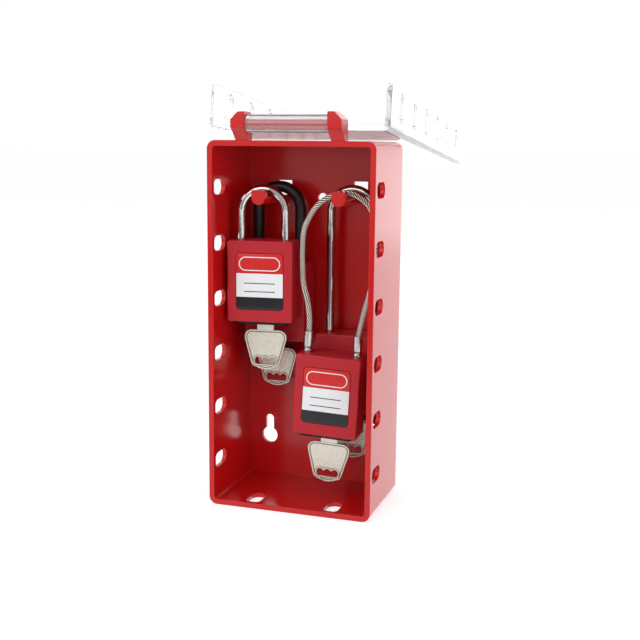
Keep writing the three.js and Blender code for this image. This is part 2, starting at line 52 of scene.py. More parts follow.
bpy.ops.object.camera_add(
    location=(0.20230, -0.59117, 0.217541),
    rotation=(math.radians(80.43687), math.radians(-0.56500), math.radians(18.22357)),
)
camera = bpy.context.object
camera.data.lens = 58.36
camera.data.sensor_width = 36
bpy.context.scene.camera = camera
bpy.context.scene.view_settings.view_transform = "Standard"
for limit in ("max_bounces", "glossy_bounces", "transmission_bounces"):
    setattr(bpy.context.scene.cycles, limit, ray_bounces)


# Studio: a white sweep to stand on, a white surround, and three soft lamps. Sweep and surround are white
# to the eye and through the cover, and dimmer as light. In gloss they are dim in front of the box too,
# as a room is behind the photographer.
floor_width = 60
floor_drop = 0.2 * mm
floor_roughness = 0.9
floor_shade = 0.74
floor_glow = 0.62
floor_mirrored = 0.90
floor_dim = 0.12
floor_dim_spot = (-0.2, -1.5, 0)
floor_dim_reach = (0.8, 1.3)
surround_light = 0.50
surround_front = 0.52
surround_reach = (-0.95, -0.35)
lamp_aim = Vector((0, 0, 0.12))


def add_node(tree, kind, **settings):
    node = tree.nodes.new(kind)
    for name, value in settings.items():
        if hasattr(node, name):
            setattr(node, name, value)
        else:
            node.inputs[name.replace("_", " ")].default_value = value
    return node


def carry_over(tree, source, *limits):
    """Carries a socket's value over from one range to another, and returns the result's socket."""
    node = add_node(tree, "ShaderNodeMapRange")
    for socket, value in zip(node.inputs[1:5], limits):
        socket.default_value = value
    tree.links.new(source, node.inputs[0])
    return node.outputs["Result"]


def mix(tree, factor, first, second):
    """Mixes two values, each a number or a socket, by a factor, and returns the result's socket."""
    node = add_node(tree, "ShaderNodeMix", data_type="FLOAT")
    tree.links.new(factor, node.inputs[0])
    for socket, value in ((node.inputs[2], first), (node.inputs[3], second)):
        if isinstance(value, (int, float)):
            socket.default_value = value
        else:
            tree.links.new(value, socket)
    return node.outputs[0]


bpy.ops.object.select_all(action="DESELECT")
bpy.ops.mesh.primitive_plane_add(size=floor_width, location=(0, 0, -floor_drop))
floor = bpy.context.object
floor.name = "studio_floor"
sweep = bpy.data.materials.new("white_sweep")
sweep.use_nodes = True
tree = sweep.node_tree
paint = tree.nodes["Principled BSDF"]
paint.inputs["Roughness"].default_value = floor_roughness
paint.inputs["Specular IOR Level"].default_value = 0
paint.inputs["Emission Color"].default_value = (1, 1, 1, 1)
rays = add_node(tree, "ShaderNodeLightPath").outputs
where = add_node(tree, "ShaderNodeTexCoord")
away = add_node(tree, "ShaderNodeVectorMath", operation="DISTANCE")
away.inputs[1].default_value = floor_dim_spot
tree.links.new(where.outputs["Object"], away.inputs[0])
mirrored = carry_over(tree, away.outputs["Value"], *floor_dim_reach, floor_dim, floor_mirrored)
shade = mix(tree, rays["Is Glossy Ray"], floor_shade, mirrored)
glow = mix(tree, rays["Is Diffuse Ray"], mix(tree, rays["Is Glossy Ray"], floor_glow, mirrored), 0)
tree.links.new(shade, paint.inputs["Base Color"])
tree.links.new(glow, paint.inputs["Emission Strength"])
floor.data.materials.append(sweep)

world = bpy.data.worlds.new("studio_surround")
bpy.context.scene.world = world
world.use_nodes = True
tree = world.node_tree
background = tree.nodes["Background"]
rays = add_node(tree, "ShaderNodeLightPath").outputs
shown = add_node(tree, "ShaderNodeMath", operation="ADD", use_clamp=True)
tree.links.new(rays["Is Camera Ray"], shown.inputs[0])
tree.links.new(rays["Is Transmission Ray"], shown.inputs[1])
direction = add_node(tree, "ShaderNodeTexCoord")
split = add_node(tree, "ShaderNodeSeparateXYZ")
tree.links.new(direction.outputs["Generated"], split.inputs[0])
mirrored = carry_over(tree, split.outputs["Y"], *surround_reach, surround_front, 1)
light = mix(tree, rays["Is Glossy Ray"], surround_light, mirrored)
background.inputs["Color"].default_value = (1, 1, 1, 1)
tree.links.new(mix(tree, shown.outputs["Value"], light, 1), background.inputs["Strength"])

for name, place, size, power, in_gloss in (
    ("key_lamp", (-0.55, -1.15, 0.80), 1.15, 6.6, True),
    ("fill_lamp", (1.05, -0.85, 0.55), 1.1, 5.0, False),
    ("side_lamp", (0.55, 1.70, 0.45), 1.6, 7.2, True),
):
    bpy.ops.object.light_add(type="AREA", location=place)
    lamp = bpy.context.object
    lamp.name = name
    lamp.data.size = size
    lamp.data.energy = power
    lamp.visible_glossy = in_gloss
    lamp.rotation_euler = (lamp_aim - Vector(place)).to_track_quat("-Z", "Y").to_euler()


# Box shell: one injection moulding in glossy red plastic. The slots in its sides and floor, the wall
# holes, the two hooks with the windows above them, and the hinge lugs on top come out of the one mould.
box_width = 102 * mm
box_depth = 65 * mm
box_height = 220 * mm
wall = 2.8 * mm
rim_wall = 3.4 * mm
rim_depth = 3 * mm
box_front = -box_depth / 2
box_back = box_depth / 2
half_width = box_width / 2
corner_radius = 5 * mm
back_radius = 4 * mm
cavity_radius = 1.8 * mm
rim_edge = 0.5 * mm
moulded_edge = 0.25 * mm

slot_width = 9 * mm
slot_length = 17 * mm
slot_front = box_front + 12.2 * mm - slot_length / 2
slot_back = slot_front + slot_length
side_slot_heights = [192.7 * mm - i * 33.35 * mm for i in range(6)]
centre_hole = 6 * mm
centre_hole_height = box_height - 35 * mm
keyhole_x = 35 * mm
keyhole_height = 28.6 * mm
keyhole_round = 10.4 * mm
keyhole_slot = 5.4 * mm
keyhole_rise = 11.2 * mm

hook_x = 24.8 * mm
hook_width = 8.7 * mm
hook_arm = 4.7 * mm
hook_tip = 4 * mm
hook_tip_corner = 0.9 * mm
hook_top = 187.003 * mm     # the shackles' crowns rest on its two upper edges
hook_front = -17.5 * mm
hook_tip_depth = 4 * mm
window_height = 8.6 * mm

hinge_y = box_front - 1.1 * mm
hinge_z = box_height + 9.3 * mm
lug_gap = 49.2 * mm
lug_width = 8.4 * mm
lug_front = hinge_y - 6 * mm
lug_back = hinge_y + 6.6 * mm
lug_top = hinge_z + 6.7 * mm
lug_facet = hinge_z - 2.4 * mm
lug_facet_run = 7.5 * mm
lug_chamfer = 4.4 * mm
lug_front_chamfer = 0.8 * mm
lug_back_chamfer = 2.4 * mm
pin_round = 4.8 * mm
pin_clearance = 0.3 * mm
pin_bore = pin_round + 2 * pin_clearance
pin_blind = 7 * mm

over = 5 * mm               # how far a cutter stands out of what it cuts
half_round = 0.499          # of a slot's width, so that its end is round and keeps its corners apart
same_place = 1e-6           # a thousandth of a millimetre
crumb = 1e-5                # the largest edge that counts as a leftover of a cut
nearly = 0.999              # of an edge's length, where the edge runs along an axis
flat_angle = 0.3            # below it, an edge only divides a face
smooth_angle = math.radians(50)
grain_range = (0.3, 0.7)    # what a fine noise mostly gives


def activate(piece):
    bpy.ops.object.select_all(action="DESELECT")
    piece.select_set(True)
    bpy.context.view_layer.objects.active = piece


def block(name, low, high):
    """A box-shaped solid between two corners."""
    bpy.ops.object.select_all(action="DESELECT")
    middle = [(a + b) / 2 for a, b in zip(low, high)]
    size = [b - a for a, b in zip(low, high)]
    bpy.ops.mesh.primitive_cube_add(size=1, location=middle, scale=size)
    bpy.ops.object.transform_apply(location=True, rotation=False, scale=True)
    made = bpy.context.object
    made.name = name
    return made


def edit_whole(piece):
    """Opens the piece in edit mode with all of it selected."""
    activate(piece)
    bpy.ops.object.mode_set(mode="EDIT")
    bpy.ops.mesh.select_all(action="SELECT")


def edit_edges(piece, wanted):
    """Opens the piece in edit mode with only the wanted edges selected."""
    activate(piece)
    bpy.ops.object.mode_set(mode="EDIT")
    bpy.ops.mesh.select_mode(type="EDGE")
    bpy.ops.mesh.select_all(action="DESELECT")
    shape = bmesh.from_edit_mesh(piece.data)
    for edge in shape.edges:
        edge.select_set(wanted(edge))
    bmesh.update_edit_mesh(piece.data)


def runs_along(axis):
    """Tells whether an edge runs along x, y or z."""
    i = "xyz".index(axis)

    def wanted(edge):
        way = edge.verts[1].co - edge.verts[0].co
        return abs(way[i]) > nearly * way.length
    return wanted


def lies_at(axis, *levels):
    """Tells whether an edge lies in one of some planes across x, y or z."""
    i = "xyz".index(axis)
    return lambda edge: any(all(abs(v.co[i] - level) < same_place for v in edge.verts) for level in levels)


def both(first, second):
    """Tells whether an edge meets two conditions."""
    return lambda edge: first(edge) and second(edge)


def round_edges(piece, wanted, radius, steps):
    """Rounds the wanted edges; an edge that only divides a flat face is left as it is."""
    edit_edges(piece, both(wanted, lambda edge: edge.calc_face_angle(0) > flat_angle))
    bpy.ops.mesh.bevel(offset=radius, segments=steps, affect="EDGES")
    bpy.ops.object.mode_set(mode="OBJECT")
    return piece


def rounded_block(name, low, high, axis, radius, steps=8):
    """A box-shaped solid whose four edges along one axis are rounded."""
    return round_edges(block(name, low, high), runs_along(axis), radius, steps)


def round_bar(name, axis, diameter, start, end, u=0, v=0, sides=48):
    """A round bar along an axis; u and v place it on the other two axes, in x, y, z order."""
    middle = (start + end) / 2
    where = {"x": (middle, u, v), "y": (u, middle, v), "z": (u, v, middle)}[axis]
    quarter = math.pi / 2
    turn = {"x": (0, quarter, 0), "y": (quarter, 0, 0), "z": (0, 0, 0)}[axis]
    bpy.ops.object.select_all(action="DESELECT")
    bpy.ops.mesh.primitive_cylinder_add(
        vertices=sides, radius=diameter / 2, depth=end - start, location=where, rotation=turn)
    bpy.ops.object.transform_apply(location=True, rotation=True, scale=True)
    made = bpy.context.object
    made.name = name
    return made


def gather(pieces):
    """Joins pieces that don't touch each other into one object."""
    bpy.ops.object.select_all(action="DESELECT")
    for piece in pieces:
        piece.select_set(True)
    bpy.context.view_layer.objects.active = pieces[0]
    bpy.ops.object.join()
    return pieces[0]


def apply_modifier(piece, kind, **settings):
    activate(piece)
    change = piece.modifiers.new(kind.lower(), kind)
    for name, value in settings.items():
        setattr(change, name, value)
    bpy.ops.object.modifier_apply(modifier=change.name)
    return piece


def combine(piece, other, operation):
    """Cuts, welds or intersects the piece with another solid, and removes the other."""
    apply_modifier(piece, "BOOLEAN", object=other, operation=operation, solver="EXACT")
    bpy.data.objects.remove(other, do_unlink=True)
    return piece


def cut(piece, *others):
    """Cuts other solids out of the piece, all in one go, and removes them."""
    return combine(piece, gather(others), "DIFFERENCE")


def weld(piece, other):
    """Makes the piece and another solid one solid."""
    return combine(piece, other, "UNION")


def shade_smooth(piece):
    """Shades the piece smooth, with each broad face kept flat up to its rounded edges."""
    activate(piece)
    bpy.ops.object.shade_smooth_by_angle(angle=smooth_angle)
    return apply_modifier(piece, "WEIGHTED_NORMAL", keep_sharp=True)


def bevel_edges(piece, width, steps, sharpest, **settings):
    """Bevels all edges that are sharper than an angle in degrees."""
    return apply_modifier(piece, "BEVEL", width=width, segments=steps, limit_method="ANGLE",
                          angle_limit=math.radians(sharpest), use_clamp_overlap=False, **settings)


def soften(piece, width, steps=2, sharpest=32, cut_up=False):
    """Merges loose corners, breaks every sharp edge and shades the piece smooth.

    With cut_up, broad faces are cut into triangles first, where a bevel would close a hole in them.
    """
    edit_whole(piece)
    bpy.ops.mesh.remove_doubles(threshold=same_place)
    bpy.ops.mesh.dissolve_degenerate(threshold=crumb)
    bpy.ops.mesh.dissolve_limited(angle_limit=math.radians(0.5))
    if cut_up:
        bpy.ops.mesh.quads_convert_to_tris(quad_method="BEAUTY", ngon_method="BEAUTY")
    bpy.ops.mesh.normals_make_consistent(inside=False)
    bpy.ops.object.mode_set(mode="OBJECT")
    bevel_edges(piece, width, steps, sharpest, miter_outer="MITER_ARC")
    return shade_smooth(piece)


def tint(*screen):
    """A colour as a screen shows it, 0 to 255, turned by the sRGB curve into what a shader takes."""
    return tuple(((c / 255 + 0.055) / 1.055) ** 2.4 if c > 10 else c / 255 / 12.92 for c in screen)


def finish(name, colour, roughness, spread=0.05, tone=0.05, patch=60, grain=900, bump=0.02,
           stretch=(1, 1, 1), **constants):
    """A surface whose colour drifts in soft patches and whose gloss and relief vary with a fine grain."""
    made = bpy.data.materials.new(name)
    made.use_nodes = True
    tree = made.node_tree
    shader = tree.nodes["Principled BSDF"]
    for socket, value in constants.items():
        shader.inputs[socket.replace("_", " ")].default_value = value
    where = add_node(tree, "ShaderNodeTexCoord")
    scale = add_node(tree, "ShaderNodeMapping")
    scale.inputs["Scale"].default_value = stretch
    tree.links.new(where.outputs["Object"], scale.inputs["Vector"])
    patches = add_node(tree, "ShaderNodeTexNoise", Scale=patch, Detail=3.0)
    fine = add_node(tree, "ShaderNodeTexNoise", Scale=grain, Detail=4.0, Roughness=0.6)
    tree.links.new(where.outputs["Object"], patches.inputs["Vector"])
    tree.links.new(scale.outputs["Vector"], fine.inputs["Vector"])
    drift = add_node(tree, "ShaderNodeMix", data_type="RGBA")
    drift.inputs[6].default_value = (*[c * (1 - tone) for c in colour], 1)
    drift.inputs[7].default_value = (*[min(1, c * (1 + tone)) for c in colour], 1)
    tree.links.new(patches.outputs["Fac"], drift.inputs[0])
    tree.links.new(drift.outputs[2], shader.inputs["Base Color"])
    gloss = carry_over(tree, fine.outputs["Fac"], *grain_range, roughness - spread, roughness + spread)
    tree.links.new(gloss, shader.inputs["Roughness"])
    relief = add_node(tree, "ShaderNodeBump", Strength=bump, Distance=mm)
    tree.links.new(fine.outputs["Fac"], relief.inputs["Height"])
    tree.links.new(relief.outputs["Normal"], shader.inputs["Normal"])
    return made


def hand_over(piece, name, body, slot, *nodes):
    """Names a finished piece and hands it to the frame in place of CAD nodes."""
    piece.name = name
    piece.data.name = name
    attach(piece, body)
    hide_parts(*nodes)
    return piece


def settle(piece, name, body, slot, look, *nodes):
    """Gives a finished piece its look, names it, and hands it to the frame in place of CAD nodes."""
    piece.data.materials.clear()
    piece.data.materials.append(look)
    return hand_over(piece, name, body, slot, *nodes)


red_plastic = finish("glossy_red_plastic", tint(206, 22, 24), 0.16, spread=0.04, tone=0.05, patch=25,
                     grain=500, bump=0.05, Specular_IOR_Level=0.35)

shell = rounded_block("box_shell", (-half_width, box_front, 0), (half_width, box_back, box_height),
                      "y", corner_radius, 10)
round_edges(shell, lies_at("y", box_back), back_radius, 6)
cut(shell, rounded_block(
    "mouth", (rim_wall - half_width, box_front - over, rim_wall),
    (half_width - rim_wall, box_front + rim_depth + over, box_height - rim_wall), "y", cavity_radius, 5))
round_edges(shell, lies_at("y", box_front), rim_edge, 3)
cut(shell, rounded_block(
    "inside", (wall - half_width, box_front + rim_depth, wall),
    (half_width - wall, box_back - wall, box_height - wall), "y", cavity_radius, 5))

wall_inside = box_back - wall - over
wall_behind = box_back + over
slot_half = slot_width / 2
keyhole_half = keyhole_slot / 2
cutters = [
    rounded_block("side_slot", (-half_width - over, slot_front, z - slot_half),
                  (half_width + over, slot_back, z + slot_half), "x", half_round * slot_width, 12)
    for z in side_slot_heights]
for side in (-1, 1):
    x = side * hook_x
    cutters.append(rounded_block("floor_slot", (x - slot_half, slot_front, -over),
                                 (x + slot_half, slot_back, wall + over), "z", half_round * slot_width, 12))
    cutters.append(round_bar("keyhole", "y", keyhole_round, wall_inside, wall_behind,
                             side * keyhole_x, keyhole_height))
cutters.append(round_bar("centre_hole", "y", centre_hole, wall_inside, wall_behind, 0, centre_hole_height))
cut(shell, *cutters)
keyhole_foot = keyhole_height - keyhole_half
keyhole_top = keyhole_height + keyhole_rise + keyhole_half
cut(shell, *[
    rounded_block("keyhole_slot", (side * keyhole_x - keyhole_half, wall_inside, keyhole_foot),
                  (side * keyhole_x + keyhole_half, wall_behind, keyhole_top),
                  "y", half_round * keyhole_slot, 12)
    for side in (-1, 1)])

# The openings beside each hook are where the mould's core shut off under its upturned tip
for side in (-1, 1):
    left = side * hook_x - hook_width / 2
    right = left + hook_width
    cut(shell, block("window", (left, wall_inside, hook_top),
                     (right, wall_behind, hook_top + window_height)))
    middle = hook_top - hook_arm + hook_width / 2
    hook = round_bar("hook", "y", hook_width, hook_front, box_back - wall / 2, side * hook_x, middle)
    cut(hook, block("over_arm", (left - over, hook_front + hook_tip_depth, hook_top),
                    (right + over, box_back, hook_top + over)))
    tip_top = hook_top + hook_tip
    tip = block("tip", (left, hook_front, middle), (right, hook_front + hook_tip_depth, tip_top))
    round_edges(tip, both(runs_along("y"), lies_at("z", tip_top)), hook_tip_corner, 4)
    weld(shell, weld(hook, tip))
soften(shell, moulded_edge, 3, sharpest=42)

# The lugs' foot is cut back at a slope, so that they lean out over the rim
for side in (-1, 1):
    inner = side * lug_gap / 2
    outer = side * (lug_gap / 2 + lug_width)
    left, right = sorted((inner, outer))
    lug = block("lug", (left, lug_front, box_height - wall / 2), (right, lug_back, lug_top))
    for axis, level, width in (("x", outer, lug_chamfer), ("y", lug_front, lug_front_chamfer),
                               ("y", lug_back, lug_back_chamfer)):
        round_edges(lug, both(lies_at(axis, level), lies_at("z", lug_top)), width, 1)
    wedge = block("wedge", (left - over, lug_front - 3 * over, lug_facet - 4 * over),
                  (right + over, lug_front, lug_facet + 2 * over))
    edit_whole(wedge)
    bpy.ops.transform.rotate(value=-math.atan2(lug_facet_run, lug_facet - box_height), orient_axis="X",
                             center_override=(0, lug_front, lug_facet))
    bpy.ops.object.mode_set(mode="OBJECT")
    cut(lug, wedge)
    seat = (outer - over, inner + over) if side < 0 else (inner - over, inner + pin_blind)
    cut(lug, round_bar("seat", "x", pin_bore, *seat, hinge_y, hinge_z))
    soften(lug, moulded_edge, 3)
    weld(shell, lug)
shade_smooth(shell)
settle(shell, "box_shell_moulding", "box", "red_shell", red_plastic, "box_shell")


# Hinge pin: a turned rod of darker red plastic with rounded ends, pushed in through the left lug
# until it meets the blind end of the right one.
pin_recess = 0.8 * mm
pin_edge = 0.5 * mm

pin = round_bar("hinge_pin", "x", pin_round, pin_recess - lug_gap / 2 - lug_width,
                lug_gap / 2 + pin_blind - pin_clearance, hinge_y, hinge_z)
soften(pin, pin_edge, 3)
dark_red = finish("dark_red_rod", tint(205, 20, 32), 0.24, patch=120, grain=1500, bump=0.04,
                  stretch=(0.05, 1, 1))
settle(pin, "hinge_pin_rod", "box", "red_pin", dark_red, "hinge_pin")


# Clear cover: one moulding in clear polycarbonate, a channel with six slots down each side,
# a tongue between the lugs and a barrel round the pin. It is made closed and then swung open.
cover_wall = 3.4 * mm
flange_wall = 2.5 * mm
flange_depth = 27.6 * mm
cover_front = -2.8 * mm
cover_edge = 3.5 * mm
cover_inner_edge = 1 * mm
cover_broken_edge = 0.3 * mm
panel_corner = 5 * mm
flange_corner = 8.4 * mm
cover_half = 54.9 * mm
cover_offset = 1 * mm
cover_top = -8.8 * mm
cover_bottom = 0.5 * mm - hinge_z
barrel_round = 10.4 * mm
barrel_half = lug_gap / 2 - pin_clearance
cover_lean = 0.098952689822841      # past level, down to where it rests on the box's rear edge
cover_open = -(1.5 * math.pi + cover_lean)


def place_for_good(piece, where=(0, 0, 0), turn=(0, 0, 0)):
    """Moves and turns a piece in its mesh, so that its object stays at the origin, unturned."""
    piece.location = where
    piece.rotation_euler = turn
    activate(piece)
    bpy.ops.object.transform_apply(location=True, rotation=True, scale=True)
    return piece


cover_left = cover_offset - cover_half
cover_right = cover_offset + cover_half
cover_back = cover_front + flange_depth
panel_back = cover_front + cover_wall
cover = block("cover", (cover_left, cover_front, cover_bottom), (cover_right, cover_back, cover_top))
round_edges(cover, both(runs_along("z"), lies_at("y", cover_front)), cover_edge, 8)
hollow = block("hollow", (cover_left + flange_wall, panel_back, cover_bottom - over),
               (cover_right - flange_wall, cover_back + over, cover_top + over))
round_edges(hollow, both(runs_along("z"), lies_at("y", panel_back)), cover_inner_edge, 4)
cut(cover, hollow)
side_view = block("side_view", (cover_left - over, cover_front - over, cover_bottom),
                  (cover_right + over, cover_back, cover_top))
round_edges(side_view, both(runs_along("x"), lies_at("y", cover_back)), flange_corner, 10)
combine(cover, side_view, "INTERSECT")
front_view = rounded_block("front_view", (cover_left, cover_front - over, cover_bottom),
                           (cover_right, cover_back + over, cover_top), "y", panel_corner, 8)
combine(cover, front_view, "INTERSECT")
tongue = block("tongue", (-barrel_half, cover_front, cover_top - cover_wall), (barrel_half, panel_back, 0))
weld(cover, weld(tongue, round_bar("barrel", "x", barrel_round, -barrel_half, barrel_half)))
cut(cover, round_bar("pin_bore", "x", pin_bore, -barrel_half - over, barrel_half + over))
cut(cover, *[
    rounded_block("slot", (cover_left - over, slot_front - hinge_y, z - hinge_z - slot_half),
                  (cover_right + over, slot_back - hinge_y, z - hinge_z + slot_half),
                  "x", half_round * slot_width, 12)
    for z in side_slot_heights])
soften(cover, cover_broken_edge, 3)
place_for_good(cover, (0, hinge_y, hinge_z), (cover_open, 0, 0))
clear_plastic = finish("clear_polycarbonate", (0.86, 0.88, 0.89), 0.035, spread=0.02, tone=0.005, patch=30,
                       grain=300, bump=0.01, Transmission_Weight=0.94, IOR=1.45)
settle(cover, "clear_cover_moulding", "cover", "clear_cover", clear_plastic, "cover")


# Padlock bodies, base plates and key plugs: the body is moulded in satin red nylon and bored for the
# shackle's legs and the brass plug, and a black plate closes it below. The rear left one hangs back to
# front. All pieces of a padlock are made round the middle of its body and then hung in their place.
body_width = 40 * mm
body_height = 49.2 * mm
body_depth = 20 * mm
body_corner = 1.4 * mm
body_edge = 0.8 * mm
broken_edge = 0.3 * mm
bore_clearance = 0.3 * mm
plug_round = 12 * mm
plug_length = 22 * mm
plug_offset = 1.5 * mm
plug_edge = 0.25 * mm
base_size = (33 * mm, 15 * mm, 2.4 * mm)
base_corner = 3 * mm
base_drop = 1.7 * mm
label_size = (28.6 * mm, 33.8 * mm)
label_corner = 2.2 * mm
label_recess = 0.5 * mm
blade_width = 8.2 * mm
blade_reach = 20 * mm
key_thickness = 2.2 * mm
steel_rod = 5.2 * mm
steel_span = 27.5 * mm
nylon_rod = 7 * mm
nylon_span = 27.8 * mm
ferrule_round = 5.3 * mm
ferrule_span = 30.6 * mm
ferrule_depth = 8 * mm
heel_depth = 20 * mm
toe_depth = 8 * mm
body_top = body_height / 2
body_foot = -body_height / 2
face_front = -body_depth / 2
plug_face = body_foot - base_drop
plug_bore = plug_round + 2 * bore_clearance

# Each padlock's small turn about x, y and z is the one with which it hangs in the photograph
steel_legs = {"leg": steel_rod, "span": steel_span, "depths": (heel_depth, toe_depth)}
nylon_legs = {"leg": nylon_rod, "span": nylon_span, "depths": (heel_depth, toe_depth)}
cable_legs = {"leg": ferrule_round, "span": ferrule_span, "depths": (ferrule_depth, ferrule_depth)}
padlocks = {
    "front_left": {"turn": (0, 0, 0.13), "labelled": True, **steel_legs},
    "rear_left": {"turn": (0, 0, math.pi), "labelled": False, **nylon_legs},
    "front_right": {"turn": (0, 0.05, 0.049), "labelled": True, **cable_legs},
    "rear_right": {"turn": (0, 0, 0), "labelled": False, **steel_legs},
}


def copy_of(piece):
    twin = piece.copy()
    twin.data = piece.data.copy()
    bpy.context.scene.collection.objects.link(twin)
    return twin


def hang(piece, lock):
    """Carries a piece made round the middle of a padlock's body to where that padlock hangs."""
    low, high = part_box(f"{lock}_body")
    return place_for_good(piece, (low + high) / 2, padlocks[lock]["turn"])


body_plastic = finish("satin_red_nylon", tint(188, 32, 44), 0.42, spread=0.06, tone=0.04, patch=90,
                      grain=1800, bump=0.12, Specular_IOR_Level=0.35)
black_plastic = finish("black_plastic", tint(15, 15, 16), 0.45, spread=0.08, tone=0.15, patch=90,
                       grain=1600, bump=0.15, Specular_IOR_Level=0.2)
brass = finish("turned_brass", tint(181, 154, 88), 0.3, spread=0.08, tone=0.06, patch=200,
               grain=2500, bump=0.05, Metallic=1.0)

blank_body = rounded_block("blank_body", (-body_width / 2, face_front, body_foot),
                           (body_width / 2, -face_front, body_top), "y", body_corner, 8)
for face in (face_front, -face_front):
    round_edges(blank_body, lies_at("y", face), body_edge, 4)
cut(blank_body, round_bar("plug_bore", "z", plug_bore, body_foot - over,
                          plug_face + plug_length + bore_clearance, plug_offset))
half = [size / 2 + bore_clearance for size in base_size[:2]]
cut(blank_body, rounded_block("base_pocket", (-half[0], -half[1], body_foot - over),
                              (half[0], half[1], plug_face + base_size[2] + bore_clearance),
                              "z", base_corner + bore_clearance, 6))

blank_base = rounded_block("blank_base", (-base_size[0] / 2, -base_size[1] / 2, plug_face),
                           (base_size[0] / 2, base_size[1] / 2, plug_face + base_size[2]),
                           "z", base_corner, 8)
cut(blank_base, round_bar("base_bore", "z", plug_bore, plug_face - over, body_foot + over, plug_offset))
soften(blank_base, broken_edge)

blank_plug = round_bar("blank_plug", "z", plug_round, plug_face, plug_face + plug_length, plug_offset)
half = [size / 2 + bore_clearance for size in (blade_width, key_thickness)]
cut(blank_plug, block("keyway", (plug_offset - half[0], -half[1], plug_face - over),
                      (plug_offset + half[0], half[1], plug_face + blade_reach + bore_clearance)))
soften(blank_plug, plug_edge)

for lock, kind in padlocks.items():
    body = copy_of(blank_body)
    cut(body, *[
        round_bar("leg_bore", "z", kind["leg"] + 2 * bore_clearance, body_top - depth - bore_clearance,
                  body_top + over, side * kind["span"] / 2, sides=32)
        for side, depth in zip((-1, 1), kind["depths"])])
    if kind["labelled"]:
        half = [size / 2 + bore_clearance for size in label_size]
        cut(body, rounded_block("label_seat", (-half[0], face_front - over, -half[1]),
                                (half[0], label_recess + face_front, half[1]),
                                "y", label_corner + bore_clearance, 6))
    soften(body, broken_edge)
    base, plug = copy_of(blank_base), copy_of(blank_plug)
    rider = f"{lock}_padlock"
    settle(hang(body, lock), f"{lock}_body_moulding", rider, "red_padlock", body_plastic, f"{lock}_body")
    settle(hang(base, lock), f"{lock}_base_cap", rider, "black_plastic", black_plastic, f"{lock}_base")
    settle(hang(plug, lock), f"{lock}_key_plug", f"{lock}_turning_key", "brass_plug", brass, f"{lock}_plug")
for blank in (blank_body, blank_base, blank_plug):
    bpy.data.objects.remove(blank, do_unlink=True)


# Labels: a printed vinyl plate set into the front of each front padlock, with a red head and an oval
# line on it, a white field ruled with two lines to write on, and a black foot.
label_thickness = 0.4 * mm
label_edge = 0.1 * mm
label_back = label_recess - bore_clearance + face_front
label_front = label_back - label_thickness
label_top = label_size[1] / 2
head_foot = label_top - 11.9 * mm
field_foot = head_foot - 14.3 * mm
print_relief = 0.05 * mm
oval_size = (25.4 * mm, 8.5 * mm)
oval_line = 0.6 * mm
oval_height = label_top - 6.1 * mm
rule_half = 9.5 * mm
rule_line = 0.5 * mm
rule_drops = (6.2 * mm, 11.2 * mm)


def score(piece, *levels):
    """Cuts the piece's surface along some heights, without taking anything away."""
    edit_whole(piece)
    for level in levels:
        bpy.ops.mesh.select_all(action="SELECT")
        bpy.ops.mesh.bisect(plane_co=(0, 0, level), plane_no=(0, 0, 1))
    bpy.ops.object.mode_set(mode="OBJECT")


red_print = finish("label_red_print", tint(214, 24, 22), 0.3, tone=0.02, grain=2200, bump=0.05)
white_print = finish("label_white_print", tint(246, 251, 253), 0.32, tone=0.015, grain=2200, bump=0.05)
black_print = finish("label_black_print", tint(20, 21, 25), 0.3, tone=0.08, grain=2200, bump=0.05,
                     Specular_IOR_Level=0.35)

label = rounded_block("blank_label", (-label_size[0] / 2, label_front, -label_top),
                      (label_size[0] / 2, label_back, label_top), "y", label_corner, 8)
score(label, head_foot, field_foot)
for look in (red_print, white_print, black_print):
    label.data.materials.append(look)
for face in label.data.polygons:
    height = face.center.z
    face.material_index = 0 if height > head_foot else 1 if height > field_foot else 2
bevel_edges(label, label_edge, 2, 50)
bpy.ops.object.shade_smooth_by_angle(angle=math.radians(40))

relief_front = label_front - print_relief
relief_back = label_front + print_relief
half = [size / 2 for size in oval_size]
oval = rounded_block("oval_line", (-half[0], relief_front, oval_height - half[1]),
                     (half[0], relief_back, oval_height + half[1]), "y", half_round * oval_size[1], 14)
half = [size / 2 - oval_line for size in oval_size]
cut(oval, rounded_block("oval_inside", (-half[0], label_front - over, oval_height - half[1]),
                        (half[0], label_front + over, oval_height + half[1]),
                        "y", 2 * half_round * half[1], 14))
oval.data.materials.append(white_print)
rules = [block("rule", (-rule_half, relief_front, head_foot - drop),
               (rule_half, relief_back, head_foot - drop + rule_line)) for drop in rule_drops]
for rule in rules:
    rule.data.materials.append(black_print)
gather([label, oval, *rules])
for lock in ("front_left", "front_right"):
    plate = hang(copy_of(label), lock)
    hand_over(plate, f"{lock}_label_plate", f"{lock}_padlock", "label", f"{lock}_label")
bpy.data.objects.remove(label, do_unlink=True)


# Shackles: a bent rod with a long heel leg and a short toe leg. Two are hardened steel with a bright
# chrome plate, and the one at the rear left is black nylon, thicker because it is plastic.
rod_sides = 40
rod_edge = 0.5 * mm
crown_steps = 48


